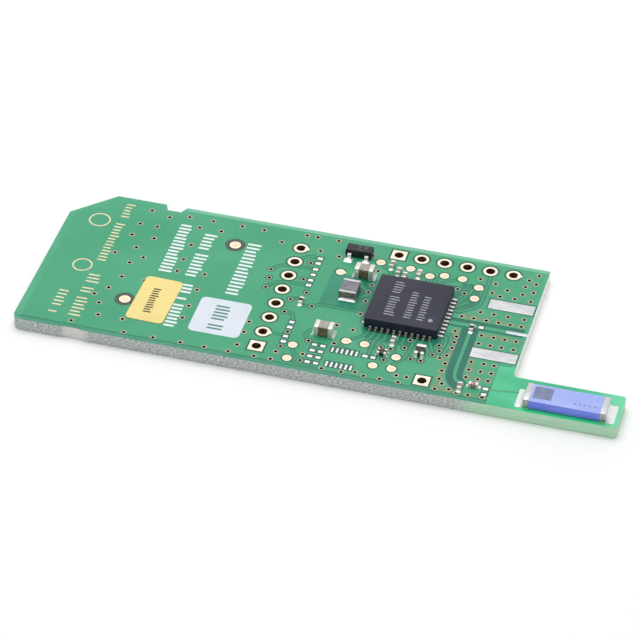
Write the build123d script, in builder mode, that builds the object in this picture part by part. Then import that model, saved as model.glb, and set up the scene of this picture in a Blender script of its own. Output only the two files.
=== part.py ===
from build123d import *
import os

# Card: a memory card outline in circuit laminate, with an antenna tongue past it
card_length = 53.0
card_width = 24.0
card_thickness = 1.4
tongue_length = 12.0
tongue_width = 5.26
corner_cut = 4.25
contact_corner_radius = 1.0
tongue_root_radius = 0.5
tongue_end_radius = 0.35

# Lock notch in the far edge, and the shallow dip milled into the near edge
notch_start = 9.8
notch_length = 2.4
notch_depth = 0.95
notch_steep_run = 0.4
notch_slope_run = 0.5
dip_start = 5.2
dip_length = 2.9
dip_depth = 0.16

# Copper and its finish stand this high above the laminate's top face, bare lands with
# solder on them stand higher, and the many round pads are outlines with this many sides
land_rise = 0.04
tinned_rise = 0.08
round_pad_sides = 24

# Plated holes: a metal sleeve through the laminate, as wide as its pads
hole_diameter = 1.0
pad_diameter = 1.6
hole_pitch = 2.54
header_count = 8
header_setback = 26.9
header_offset = -0.46
service_count = 6
service_setback = 10.03
service_inset = 1.8
ground_hole_setback = 8.9
ground_hole_inset = 1.9

# Gold contacts under the contact end, in the card standard's order
contact_width = 1.4
contact_length = 4.5
contact_pitch = 2.5
contact_last_pitch = 1.7
contact_end_gap = 0.9
contact_side_gap = 2.1
contact_depth = 0.05
detect_contact_length = 3.6
detect_contact_clearance = 0.6

# Wi-Fi chip: a leadless square package with lands on four sides
chip_side = 8.0
chip_height = 1.16
chip_setback = 13.0
chip_offset = 1.0
chip_corner = 0.15
chip_top_chamfer = 0.1
chip_land_count = 11
chip_land_pitch = 0.65
chip_land_width = 0.3
chip_land_length = 0.5
chip_land_thickness = 0.22
chip_ground_pad = 5.2
chip_joint_width = 0.34
chip_joint_reach = 0.52
chip_joint_climb = 0.1

# Three-lead regulator with bent leads
regulator_length = 2.9
regulator_width = 1.3
regulator_height = 0.92
regulator_standoff = 0.06
regulator_draft = 7.0
regulator_setback = 20.5
regulator_inset = 2.95
lead_width = 0.42
lead_thickness = 0.13
lead_pitch = 1.9
lead_reach = 0.6
lead_foot = 0.34
lead_bend = 0.1
lead_exit_height = 0.46
lead_land_width = 0.9
lead_land_reach = 0.45

# Antenna: a ceramic block with a wrapped terminal at each end
antenna_length = 8.7
antenna_width = 2.95
antenna_height = 1.05
antenna_terminal = 0.65
antenna_setout = 6.37
antenna_inset = 1.98
antenna_land_reach = 0.85

# Two-terminal chip parts: length, width, height and the length of an end cap
end_cap_wall = 0.03
bypass_length = 1.0
bypass_width = 0.5
bypass_height = 0.5
bypass_cap = 0.27
resistor_height = 0.35
resistor_coat = 0.04
power_capacitor_length = 2.0
power_capacitor_width = 1.3
power_capacitor_height = 1.2
power_capacitor_cap = 0.48
inductor_length = 2.4
inductor_width = 1.85
inductor_height = 1.0
inductor_cap = 0.35
chip_joint_share = 0.6
bypass_joint_reach = 0.3
power_joint_reach = 0.3

# Parts with corner terminals: the band filter and the antenna balun
filter_length = 1.6
filter_width = 1.05
filter_height = 0.55
filter_corner = 0.38
filter_cap = 0.42
balun_length = 1.0
balun_width = 0.85
balun_height = 0.45
balun_corner = 0.27
corner_joint_reach = 0.2

# Bare pads and lands
test_pad_diameter = 1.0
fiducial_diameter = 1.25
launch_pad_length = 4.9
launch_pad_width = 1.6
launch_pad_spread = 4.3
launch_offset = 0.35
signal_pad_length = 2.3
signal_pad_width = 0.45
spare_land_length = 0.58
spare_land_width = 0.48
comb_land_length = 0.82
comb_land_width = 0.28
comb_pitch = 0.52
comb_count = 6
comb_spread = 2.45

# Paper label and the white printed panel for handwriting
label_length = 7.55
label_width = 4.15
label_thickness = 0.1
label_corner = 0.5
label_turn = -1.7
panel_length = 6.0
panel_width = 5.6
panel_thickness = 0.03
panel_corner = 0.6

# How far the label, the panel and the optical marks stand from the header row and their edge
label_from_header = 12.52
label_from_edge = 7.12
panel_from_header = 5.0
panel_from_edge = 6.25
far_mark_from_header = 7.0
far_mark_from_edge = 5.05
near_mark_from_header = 15.6
near_mark_from_edge = 6.4

# The frame: origin under the middle of the whole outline, +X towards the antenna
overall_length = card_length + tongue_length
contact_end = -overall_length / 2
launch_end = contact_end + card_length
near_edge = -card_width / 2
far_edge = card_width / 2
top = card_thickness
seat = top + land_rise

chip_x = launch_end - chip_setback
chip_y = chip_offset
chip_near = chip_y - chip_side / 2
chip_far = chip_y + chip_side / 2
feed_y = (near_edge + chip_near) / 2
header_x = launch_end - header_setback
service_x = launch_end - service_setback
service_y = far_edge - service_inset
ground_hole_x = launch_end - ground_hole_setback
ground_hole_y = near_edge + ground_hole_inset
regulator_x = launch_end - regulator_setback
regulator_y = far_edge - regulator_inset
antenna_x = launch_end + antenna_setout
antenna_y = near_edge + antenna_inset

os.makedirs("parts", exist_ok=True)


def save(part, name):
    part.label = name
    export_step(part, f"parts/{name}.step")


# Hole centres: a row, and which of its holes has the square pad
def row_of_holes(centre_x, centre_y, count, along_x):
    first = -(count - 1) / 2 * hole_pitch
    steps = [first + i * hole_pitch for i in range(count)]
    if along_x:
        return [(centre_x + s, centre_y) for s in steps]
    return [(centre_x, centre_y + s) for s in steps]


header_holes = row_of_holes(header_x, header_offset, header_count, False)
service_holes = row_of_holes(service_x, service_y, service_count, True)
ground_holes = [(ground_hole_x, ground_hole_y)]
square_holes = [header_holes[0], service_holes[0], ground_holes[0]]
round_holes = [h for h in header_holes + service_holes if h not in square_holes]

# Contact places, counted from the near edge: eight in line and the last set back
contact_steps = [contact_side_gap]
contact_steps.append(contact_steps[-1] + contact_last_pitch)
for step in range(7):
    contact_steps.append(contact_steps[-1] + contact_pitch)
contact_places = [near_edge + s for s in contact_steps]
contact_x = contact_end + contact_end_gap + contact_length / 2
detect_contact_y = contact_places[-1]
detect_contact_start = (
    detect_contact_y + contact_width / 2 - (far_edge - corner_cut) + detect_contact_clearance
)
detect_contact_x = contact_end + detect_contact_start + detect_contact_length / 2

# Laminate: outline, the plated holes' places, and shallow seats for the card contacts
with BuildPart() as laminate:
    with BuildSketch() as outline:
        with Locations((contact_end + card_length / 2, 0)):
            Rectangle(card_length, card_width)
        with Locations((launch_end + tongue_length / 2, near_edge + tongue_width / 2)):
            Rectangle(tongue_length, tongue_width)
        tongue_end = outline.vertices().group_by(Axis.X)[-1]
        fillet(tongue_end, tongue_end_radius)
        root = outline.vertices().sort_by_distance((launch_end, near_edge + tongue_width))[0]
        fillet(root, tongue_root_radius)
        near_contact = outline.vertices().sort_by_distance((contact_end, near_edge))[0]
        fillet(near_contact, contact_corner_radius)
        far_contact = outline.vertices().sort_by_distance((contact_end, far_edge))[0]
        chamfer(far_contact, corner_cut)
        with BuildLine():
            notch_x = contact_end + notch_start
            Polyline(
                (notch_x, far_edge),
                (notch_x + notch_steep_run, far_edge - notch_depth),
                (notch_x + notch_length - notch_slope_run, far_edge - notch_depth),
                (notch_x + notch_length, far_edge),
                close=True,
            )
        make_face(mode=Mode.SUBTRACT)
        with BuildLine():
            dip_x = contact_end + dip_start
            ThreePointArc(
                (dip_x, near_edge),
                (dip_x + dip_length / 2, near_edge + dip_depth),
                (dip_x + dip_length, near_edge),
            )
            Line((dip_x + dip_length, near_edge), (dip_x, near_edge))
        make_face(mode=Mode.SUBTRACT)
    extrude(amount=card_thickness)
    with BuildSketch():
        with Locations(round_holes):
            RegularPolygon(pad_diameter / 2, round_pad_sides)
        with Locations(square_holes):
            Rectangle(pad_diameter, pad_diameter)
    extrude(amount=card_thickness, mode=Mode.SUBTRACT)
    with BuildSketch():
        with Locations([(contact_x, y) for y in contact_places[:-1]]):
            Rectangle(contact_length, contact_width)
        with Locations((detect_contact_x, detect_contact_y)):
            Rectangle(detect_contact_length, contact_width)
    extrude(amount=contact_depth, mode=Mode.SUBTRACT)
save(laminate.part, "laminate")


# Plated holes: flush with the underside and a land's height proud of the top
def eyelets(round_places, square_places):
    with BuildPart() as plated:
        with BuildSketch():
            if round_places:
                with Locations(round_places):
                    RegularPolygon(pad_diameter / 2, round_pad_sides)
            with Locations(square_places):
                Rectangle(pad_diameter, pad_diameter)
            with Locations(round_places + square_places):
                Circle(hole_diameter / 2, mode=Mode.SUBTRACT)
        extrude(amount=seat)
    return plated.part


save(eyelets(header_holes[1:], header_holes[:1]), "header_eyelets")
save(eyelets(service_holes[1:], service_holes[:1]), "service_eyelets")
save(eyelets([], ground_holes), "ground_eyelet")

# Card contacts, flush in the underside
with BuildPart() as card_contacts:
    with BuildSketch():
        with Locations([(contact_x, y) for y in contact_places[:-1]]):
            Rectangle(contact_length, contact_width)
        with Locations((detect_contact_x, detect_contact_y)):
            Rectangle(detect_contact_length, contact_width)
    extrude(amount=contact_depth)
save(card_contacts.part, "card_contacts")

# Bare round pads: test points near the chip, near the edges and by the regulator
test_places = [
    (chip_x - 1.6, service_y - 2.0),
    (chip_x + 2.2, service_y - 2.2),
    (chip_x + 4.2, service_y - 2.2),
    (chip_x - 4.95, service_y - 1.8),
    (chip_x + 0.7, chip_far + 2.5),
    (chip_x + 6.2, chip_far + 2.0),
    (chip_x + 6.2, chip_far),
    (chip_x + 0.6, feed_y + 0.4),
    (chip_x + 0.6, feed_y - 1.6),
    (chip_x - 1.4, feed_y - 1.6),
    (chip_x - 3.1, feed_y + 1.6),
    (chip_x - 5.1, feed_y + 1.6),
    (header_x + 3.6, near_edge + 3.9),
    (header_x + 3.6, near_edge + 1.6),
    (regulator_x - 1.2, regulator_y - 3.55),
]
with BuildPart() as test_pads:
    with BuildSketch(Plane.XY.offset(top)):
        with Locations(test_places):
            RegularPolygon(test_pad_diameter / 2, round_pad_sides)
    extrude(amount=land_rise)
save(test_pads.part, "test_pads")

# Optical marks that the placement machine lines up on
fiducial_places = [
    (header_x - far_mark_from_header, far_edge - far_mark_from_edge),
    (header_x - near_mark_from_header, near_edge + near_mark_from_edge),
]
with BuildPart() as fiducial_pads:
    with BuildSketch(Plane.XY.offset(top)):
        with Locations(fiducial_places):
            RegularPolygon(fiducial_diameter / 2, round_pad_sides)
    extrude(amount=land_rise)
save(fiducial_pads.part, "fiducial_pads")

# Launch pads for an edge connector: two ground pads and the signal between them
launch_pad_x = launch_end - 0.2 - launch_pad_length / 2
signal_pad_x = launch_end - signal_pad_length / 2
with BuildPart() as launch_pads:
    with BuildSketch(Plane.XY.offset(top)):
        with Locations((launch_pad_x, launch_offset)):
            with GridLocations(0, 2 * launch_pad_spread, 1, 2):
                Rectangle(launch_pad_length, launch_pad_width)
        with Locations((signal_pad_x, launch_offset)):
            Rectangle(signal_pad_length, signal_pad_width)
    extrude(amount=land_rise)
save(launch_pads.part, "launch_pads")

# Lands of parts that this build leaves off, tinned and bare
column_x = header_x + 2.5
strap_x = header_x + 6.25
spare_places = [(column_x, chip_y + dy) for dy in (6.2, 5.3, 4.2, 3.2, 2.2, 1.3)]
spare_places += [(column_x, near_edge + y) for y in (7.6, 6.7, 5.1, 4.2)]
spare_places += [(strap_x + dx, near_edge + y) for dx in (-0.45, 0.45) for y in (4.6, 3.6, 2.6, 1.6)]
spare_places += [(chip_x + dx, feed_y - 0.3) for dx in (-2.55, -1.7)]
spare_places += [(launch_end - 2.25, near_edge + y) for y in (2.45, 1.5)]
spare_places += [(launch_end - 5.0, launch_offset)]
with BuildPart() as spare_lands:
    with BuildSketch(Plane.XY.offset(top)):
        with Locations(spare_places):
            Rectangle(spare_land_length, spare_land_width)
    extrude(amount=tinned_rise)
save(spare_lands.part, "spare_lands")

comb_x = header_x + 9.1
comb_y = near_edge + 3.08
with BuildPart() as comb_lands:
    with BuildSketch(Plane.XY.offset(top)):
        with Locations((comb_x, comb_y)):
            with GridLocations(comb_pitch, comb_spread, comb_count, 2):
                Rectangle(comb_land_width, comb_land_length)
    extrude(amount=tinned_rise)
save(comb_lands.part, "comb_lands")

# Paper label, stuck on a little askew, and the white panel
label_x = header_x - label_from_header
label_y = near_edge + label_from_edge
with BuildPart() as paper_label:
    with BuildSketch(Plane((label_x, label_y, top))):
        RectangleRounded(label_width, label_length, label_corner, rotation=label_turn)
    extrude(amount=label_thickness)
save(paper_label.part, "paper_label")

panel_x = header_x - panel_from_header
panel_y = near_edge + panel_from_edge
with BuildPart() as writing_panel:
    with BuildSketch(Plane((panel_x, panel_y, top))):
        RectangleRounded(panel_width, panel_length, panel_corner)
    extrude(amount=panel_thickness)
save(writing_panel.part, "writing_panel")

# Wi-Fi chip: lands and ground pad sit flush in the moulded body
chip_plane = Plane((chip_x, chip_y, seat))
with BuildPart() as wifi_chip_lands:
    with BuildSketch(chip_plane):
        with PolarLocations(chip_side / 2 - chip_land_length / 2, 4):
            with GridLocations(0, chip_land_pitch, 1, chip_land_count):
                Rectangle(chip_land_length, chip_land_width)
    extrude(amount=chip_land_thickness)
save(wifi_chip_lands.part, "wifi_chip_lands")

with BuildPart() as wifi_chip_ground_pad:
    with BuildSketch(chip_plane):
        Rectangle(chip_ground_pad, chip_ground_pad)
    extrude(amount=chip_land_thickness)
save(wifi_chip_ground_pad.part, "wifi_chip_ground_pad")

with BuildPart() as wifi_chip_body:
    with BuildSketch(chip_plane):
        Rectangle(chip_side, chip_side)
    extrude(amount=chip_height)
    chamfer(wifi_chip_body.edges().filter_by(Axis.Z), chip_corner)
    chamfer(wifi_chip_body.faces().sort_by(Axis.Z)[-1].edges(), chip_top_chamfer)
    add(wifi_chip_lands.part, mode=Mode.SUBTRACT)
    add(wifi_chip_ground_pad.part, mode=Mode.SUBTRACT)
save(wifi_chip_body.part, "wifi_chip_body")


# Solder joint along +X: the land under a terminal and the solder wedge up its end.
# The terminal's end face stands at x = 0, and the land runs under it by the lap.
def solder_joint(lap, reach, climb, width):
    with BuildPart() as joint:
        with BuildSketch(Plane.XZ):
            with BuildLine():
                Polyline(
                    (0, land_rise),
                    (-lap, land_rise),
                    (-lap, 0),
                    (reach, 0),
                    (reach, land_rise),
                    (0, land_rise + climb),
                    close=True,
                )
            make_face()
        extrude(amount=width / 2, both=True)
    return joint.part


chip_joint = solder_joint(chip_land_length, chip_joint_reach, chip_joint_climb, chip_joint_width)
chip_foot = Plane((chip_x, chip_y, top))
with BuildPart(chip_foot) as wifi_chip_solder:
    with PolarLocations(chip_side / 2, 4):
        with GridLocations(0, chip_land_pitch, 1, chip_land_count):
            add(chip_joint)
    with BuildSketch(chip_foot):
        Rectangle(chip_ground_pad, chip_ground_pad)
    extrude(amount=land_rise)
save(wifi_chip_solder.part, "wifi_chip_solder")

# Regulator: moulded body with draft above and below the band where the leads leave
lead_level = seat + lead_exit_height
band_low = lead_level - lead_thickness / 2
band_high = lead_level + lead_thickness / 2
body_low = seat + regulator_standoff
body_high = seat + regulator_height
with BuildPart() as regulator_body:
    with BuildSketch(Plane((regulator_x, regulator_y, band_low))):
        Rectangle(regulator_length, regulator_width)
    extrude(amount=lead_thickness)
    with BuildSketch(Plane((regulator_x, regulator_y, band_high))):
        Rectangle(regulator_length, regulator_width)
    extrude(amount=body_high - band_high, taper=regulator_draft)
    with BuildSketch(Plane((regulator_x, regulator_y, band_low), z_dir=(0, 0, -1))):
        Rectangle(regulator_length, regulator_width)
    extrude(amount=band_low - body_low, taper=regulator_draft)
save(regulator_body.part, "regulator_body")

# One bent lead that leaves the body towards +X and lands on its foot
foot_level = land_rise + lead_thickness / 2
exit_level = land_rise + lead_exit_height
knee = lead_reach - lead_foot
with BuildPart() as bent_lead:
    with BuildSketch(Plane.XZ):
        with BuildLine():
            FilletPolyline(
                (0, exit_level),
                (knee - lead_bend / 2, exit_level),
                (knee, foot_level),
                (lead_reach, foot_level),
                radius=lead_bend,
            )
        trace(line_width=lead_thickness)
    extrude(amount=lead_width / 2, both=True)

lead_joint = solder_joint(lead_foot, lead_land_reach, lead_thickness, lead_land_width)
half_body = regulator_width / 2
lead_spots = [(-lead_pitch / 2, -half_body, -90), (lead_pitch / 2, -half_body, -90), (0, half_body, 90)]
with BuildPart(Plane((regulator_x, regulator_y, top))) as regulator_leads:
    for dx, dy, turn in lead_spots:
        with Locations(Location((dx, dy, 0), (0, 0, turn))):
            add(bent_lead.part)
save(regulator_leads.part, "regulator_leads")

with BuildPart(Plane((regulator_x, regulator_y, top))) as regulator_solder:
    for dx, dy, turn in lead_spots:
        with Locations(Location((dx, dy, 0), (0, 0, turn))):
            with Locations((lead_reach, 0, 0)):
                add(lead_joint)
save(regulator_solder.part, "regulator_solder")


# A chip part lies along its plane's X axis: a body, and a cap wrapped round each end
def chip_body(plane, length, width, height):
    inset = 2 * end_cap_wall
    with BuildPart(plane) as body:
        with Locations((0, 0, height / 2)):
            Box(length - inset, width - inset, height - inset)
    return body.part


def chip_ends(plane, length, width, height, cap):
    inset = 2 * end_cap_wall
    with BuildPart(plane) as ends:
        with Locations((0, 0, height / 2)):
            with GridLocations(length - cap, 0, 2, 1):
                Box(cap, width, height)
            Box(length - inset, width - inset, height - inset, mode=Mode.SUBTRACT)
    return ends.part


def chip_joints(plane, length, width, height, cap, reach):
    joint = solder_joint(cap, reach, height * chip_joint_share, width)
    with BuildPart(plane.offset(-land_rise)) as joints:
        with PolarLocations(length / 2, 2):
            add(joint)
    return joints.part


# Larger chip parts: the regulator's two capacitors and the power inductor
capacitor_size = (power_capacitor_length, power_capacitor_width, power_capacitor_height)
inductor_size = (inductor_length, inductor_width, inductor_height)
bypass_size = (bypass_length, bypass_width, bypass_height)
resistor_size = (bypass_length, bypass_width, resistor_height)


def lying(x, y, turn):
    return Plane((x, y, seat), x_dir=Vector(1, 0, 0).rotate(Axis.Z, turn))


chip_parts = {
    "input_capacitor": (
        lying(regulator_x + 1.45, regulator_y - 3.45, 0),
        capacitor_size,
        power_capacitor_cap,
        power_joint_reach,
    ),
    "output_capacitor": (
        lying(header_x + 6.25, near_edge + 6.7, 0),
        capacitor_size,
        power_capacitor_cap,
        power_joint_reach,
    ),
    "power_inductor": (
        lying(regulator_x + 0.7, regulator_y - 6.9, 90),
        inductor_size,
        inductor_cap,
        power_joint_reach,
    ),
}

# The small chip parts stand round the Wi-Fi chip, on the antenna feed and by the header
small_places = {
    "bypass_capacitor_1": (chip_x - 3.6, service_y - 2.17, 90, bypass_size),
    "bypass_capacitor_2": (chip_x - 2.65, chip_far + 2.05, 90, bypass_size),
    "bypass_capacitor_3": (chip_x - 1.85, chip_far + 1.4, 90, bypass_size),
    "bypass_capacitor_4": (chip_x - 0.3, chip_near - 1.7, 90, bypass_size),
    "bypass_capacitor_5": (launch_end - 4.85, near_edge + 1.8, 90, bypass_size),
    "filter_bead": (chip_x - 0.42, chip_far + 2.3, 90, bypass_size),
    "matching_inductor": (launch_end - 3.55, near_edge + 2.45, 0, bypass_size),
    "feed_resistor": (launch_end - 5.9, launch_offset - 0.6, 90, resistor_size),
    "header_resistor": (header_x + 2.5, chip_y - 1.75, 90, resistor_size),
}
for name, (x, y, turn, size) in small_places.items():
    chip_parts[name] = (lying(x, y, turn), size, bypass_cap, bypass_joint_reach)

with BuildPart() as chip_part_solder:
    for name, (plane, size, cap, reach) in chip_parts.items():
        add(chip_joints(plane, *size, cap, reach))
save(chip_part_solder.part, "chip_part_solder")

for name, (plane, size, cap, reach) in chip_parts.items():
    save(chip_body(plane, *size), f"{name}_body")
    save(chip_ends(plane, *size, cap), f"{name}_ends")

# The resistors carry a dark coat on top, between their ends
coat_length = bypass_length - 2 * bypass_cap
with BuildPart() as resistor_coats:
    for name in ("feed_resistor", "header_resistor"):
        plane = chip_parts[name][0]
        with BuildSketch(plane.offset(resistor_height - end_cap_wall)):
            Rectangle(coat_length, bypass_width - 2 * end_cap_wall)
    extrude(amount=resistor_coat)
save(resistor_coats.part, "resistor_coats")


# Parts with corner terminals: thin metal wraps the corners and the body fills them
def corner_terminals(plane, length, width, height, corner, end_cap):
    inset = 2 * end_cap_wall
    with BuildPart(plane) as terminals:
        with Locations((0, 0, height / 2)):
            with GridLocations(length - corner, width - corner, 2, 2):
                Box(corner, corner, height)
            if end_cap:
                with Locations((length / 2 - end_cap / 2, 0, 0)):
                    Box(end_cap, width, height)
            Box(length - inset, width - inset, height - inset, mode=Mode.SUBTRACT)
    return terminals.part


def corner_joints(plane, length, width, corner, climb):
    joint = solder_joint(corner, corner_joint_reach, climb, corner)
    with BuildPart(plane.offset(-land_rise)) as joints:
        with PolarLocations(length / 2, 2):
            with GridLocations(0, width - corner, 1, 2):
                add(joint)
    return joints.part


filter_plane = lying(chip_x + 2.85, feed_y + 1.85, 90)
filter_size = (filter_length, filter_width, filter_height)
save(chip_body(filter_plane, *filter_size), "band_filter_body")
filter_metal = corner_terminals(filter_plane, *filter_size, filter_corner, filter_cap)
save(filter_metal, "band_filter_terminals")

balun_plane = lying(chip_x - 0.95, feed_y + 0.55, 0)
balun_size = (balun_length, balun_width, balun_height)
save(chip_body(balun_plane, *balun_size), "balun_body")
save(corner_terminals(balun_plane, *balun_size, balun_corner, None), "balun_terminals")

with BuildPart() as corner_part_solder:
    climb = filter_height * chip_joint_share
    add(corner_joints(filter_plane, filter_length, filter_width, filter_corner, climb))
    climb = balun_height * chip_joint_share
    add(corner_joints(balun_plane, balun_length, balun_width, balun_corner, climb))
save(corner_part_solder.part, "corner_part_solder")

# Antenna on the tongue
antenna_plane = lying(antenna_x, antenna_y, 0)
antenna_size = (antenna_length, antenna_width, antenna_height)
save(chip_body(antenna_plane, *antenna_size), "antenna_body")
save(chip_ends(antenna_plane, *antenna_size, antenna_terminal), "antenna_terminals")
antenna_joints = chip_joints(antenna_plane, *antenna_size, antenna_terminal, antenna_land_reach)
save(antenna_joints, "antenna_solder")
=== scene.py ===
import bpy
import bmesh
import math
from mathutils import Matrix, Vector
from mathutils.geometry import delaunay_2d_cdt


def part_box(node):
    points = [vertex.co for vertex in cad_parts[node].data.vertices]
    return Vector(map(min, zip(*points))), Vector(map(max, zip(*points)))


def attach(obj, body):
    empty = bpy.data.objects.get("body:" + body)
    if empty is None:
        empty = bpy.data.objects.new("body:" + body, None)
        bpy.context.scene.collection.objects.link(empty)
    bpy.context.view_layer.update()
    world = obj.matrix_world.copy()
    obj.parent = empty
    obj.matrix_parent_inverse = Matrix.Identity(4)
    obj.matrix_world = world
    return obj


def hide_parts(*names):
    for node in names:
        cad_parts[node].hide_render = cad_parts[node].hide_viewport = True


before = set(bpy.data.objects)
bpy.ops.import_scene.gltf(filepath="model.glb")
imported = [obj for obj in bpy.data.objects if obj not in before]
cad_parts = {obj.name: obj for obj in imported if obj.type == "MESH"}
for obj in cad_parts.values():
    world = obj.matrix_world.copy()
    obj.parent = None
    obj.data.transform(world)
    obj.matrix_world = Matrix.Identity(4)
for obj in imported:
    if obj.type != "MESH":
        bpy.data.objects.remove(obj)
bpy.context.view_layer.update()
mm = 0.001
quarter = math.pi / 2
scene = bpy.context.scene
boardLow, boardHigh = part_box("laminate")
topZ = boardHigh.z  # the laminate's top face
print("frame loaded:", len(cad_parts), "nodes")


# Places are given in mm from the contact end, the near edge and the laminate's top face
def spot(along, across, height=0.0):
    return Vector((boardLow.x + along * mm, boardLow.y + across * mm, topZ + height * mm))


def onBoard(point):
    return ((point[0] - boardLow.x) / mm, (point[1] - boardLow.y) / mm)


# Colours are written as they look, 0 to 255, and turned linear here
def tint(colour):
    parts = [c / 255 for c in colour]
    return (*[c / 12.92 if c < 0.04045 else ((c + 0.055) / 1.055) ** 2.4 for c in parts], 1)


# Adds nodes to a tree: inputs are values or other nodes' outputs, and each call gives one output back
def nodeMaker(tree):
    def node(kind, inputs=None, out=None, **settings):
        new = tree.nodes.new(kind)
        for key, value in settings.items():
            setattr(new, key, value)
        for socket, source in (inputs or {}).items():
            if isinstance(source, bpy.types.NodeSocket):
                tree.links.new(source, new.inputs[socket])
            else:
                new.inputs[socket].default_value = source
        return new.outputs[out] if out else next(o for o in new.outputs if o.enabled)

    def calc(operation, first, second):
        return node("ShaderNodeMath", {0: first, 1: second}, operation=operation)

    return node, calc


def clouds(node, grain, detail=2.0):
    # soft noise, with one grain in mm or one along each axis
    grains = grain if isinstance(grain, tuple) else (grain, grain, grain)
    place = node("ShaderNodeTexCoord", out="Object")
    stretched = node("ShaderNodeMapping", {"Vector": place, "Scale": [1 / (mm * s) for s in grains]})
    return node("ShaderNodeTexNoise", {"Vector": stretched, "Scale": 1.0, "Detail": detail})


# A finish: two colours that a cloud mixes, the cloud's grain, and the roughness. More may give the band
# of the cloud between the colours, its detail, metal, gloss, and a bump's strength and size in mm
def look(colour, second, grain, rough, **more):
    return {"colours": (colour, second), "grain": grain, "rough": rough, **more}


def finish(name, values):
    mat = bpy.data.materials.new(name)
    mat.use_nodes = True
    node, calc = nodeMaker(mat.node_tree)
    shader = mat.node_tree.nodes["Principled BSDF"].inputs
    shader["Base Color"].default_value = tint(values["colours"][0])
    shader["Roughness"].default_value = values["rough"]
    shader["Metallic"].default_value = values.get("metal", 0.0)
    shader["Specular IOR Level"].default_value = values.get("gloss", 0.5)
    ramp = node("ShaderNodeValToRGB", {"Fac": clouds(node, values["grain"], values.get("detail", 3.0))})
    for i, share in enumerate(values.get("band", (0.4, 0.6))):
        ramp.node.color_ramp.elements[i].position = share
        ramp.node.color_ramp.elements[i].color = tint(values["colours"][i])
    mat.node_tree.links.new(ramp, shader["Base Color"])
    if "bump" in values:
        strength, size = values["bump"]
        place = node("ShaderNodeTexCoord", out="Object")
        fine = node("ShaderNodeTexNoise", {"Vector": place, "Scale": 1 / (mm * size), "Detail": 4.0})
        bump = node("ShaderNodeBump", {"Height": fine, "Strength": strength, "Distance": size * mm})
        mat.node_tree.links.new(bump, shader["Normal"])
    return mat


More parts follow.
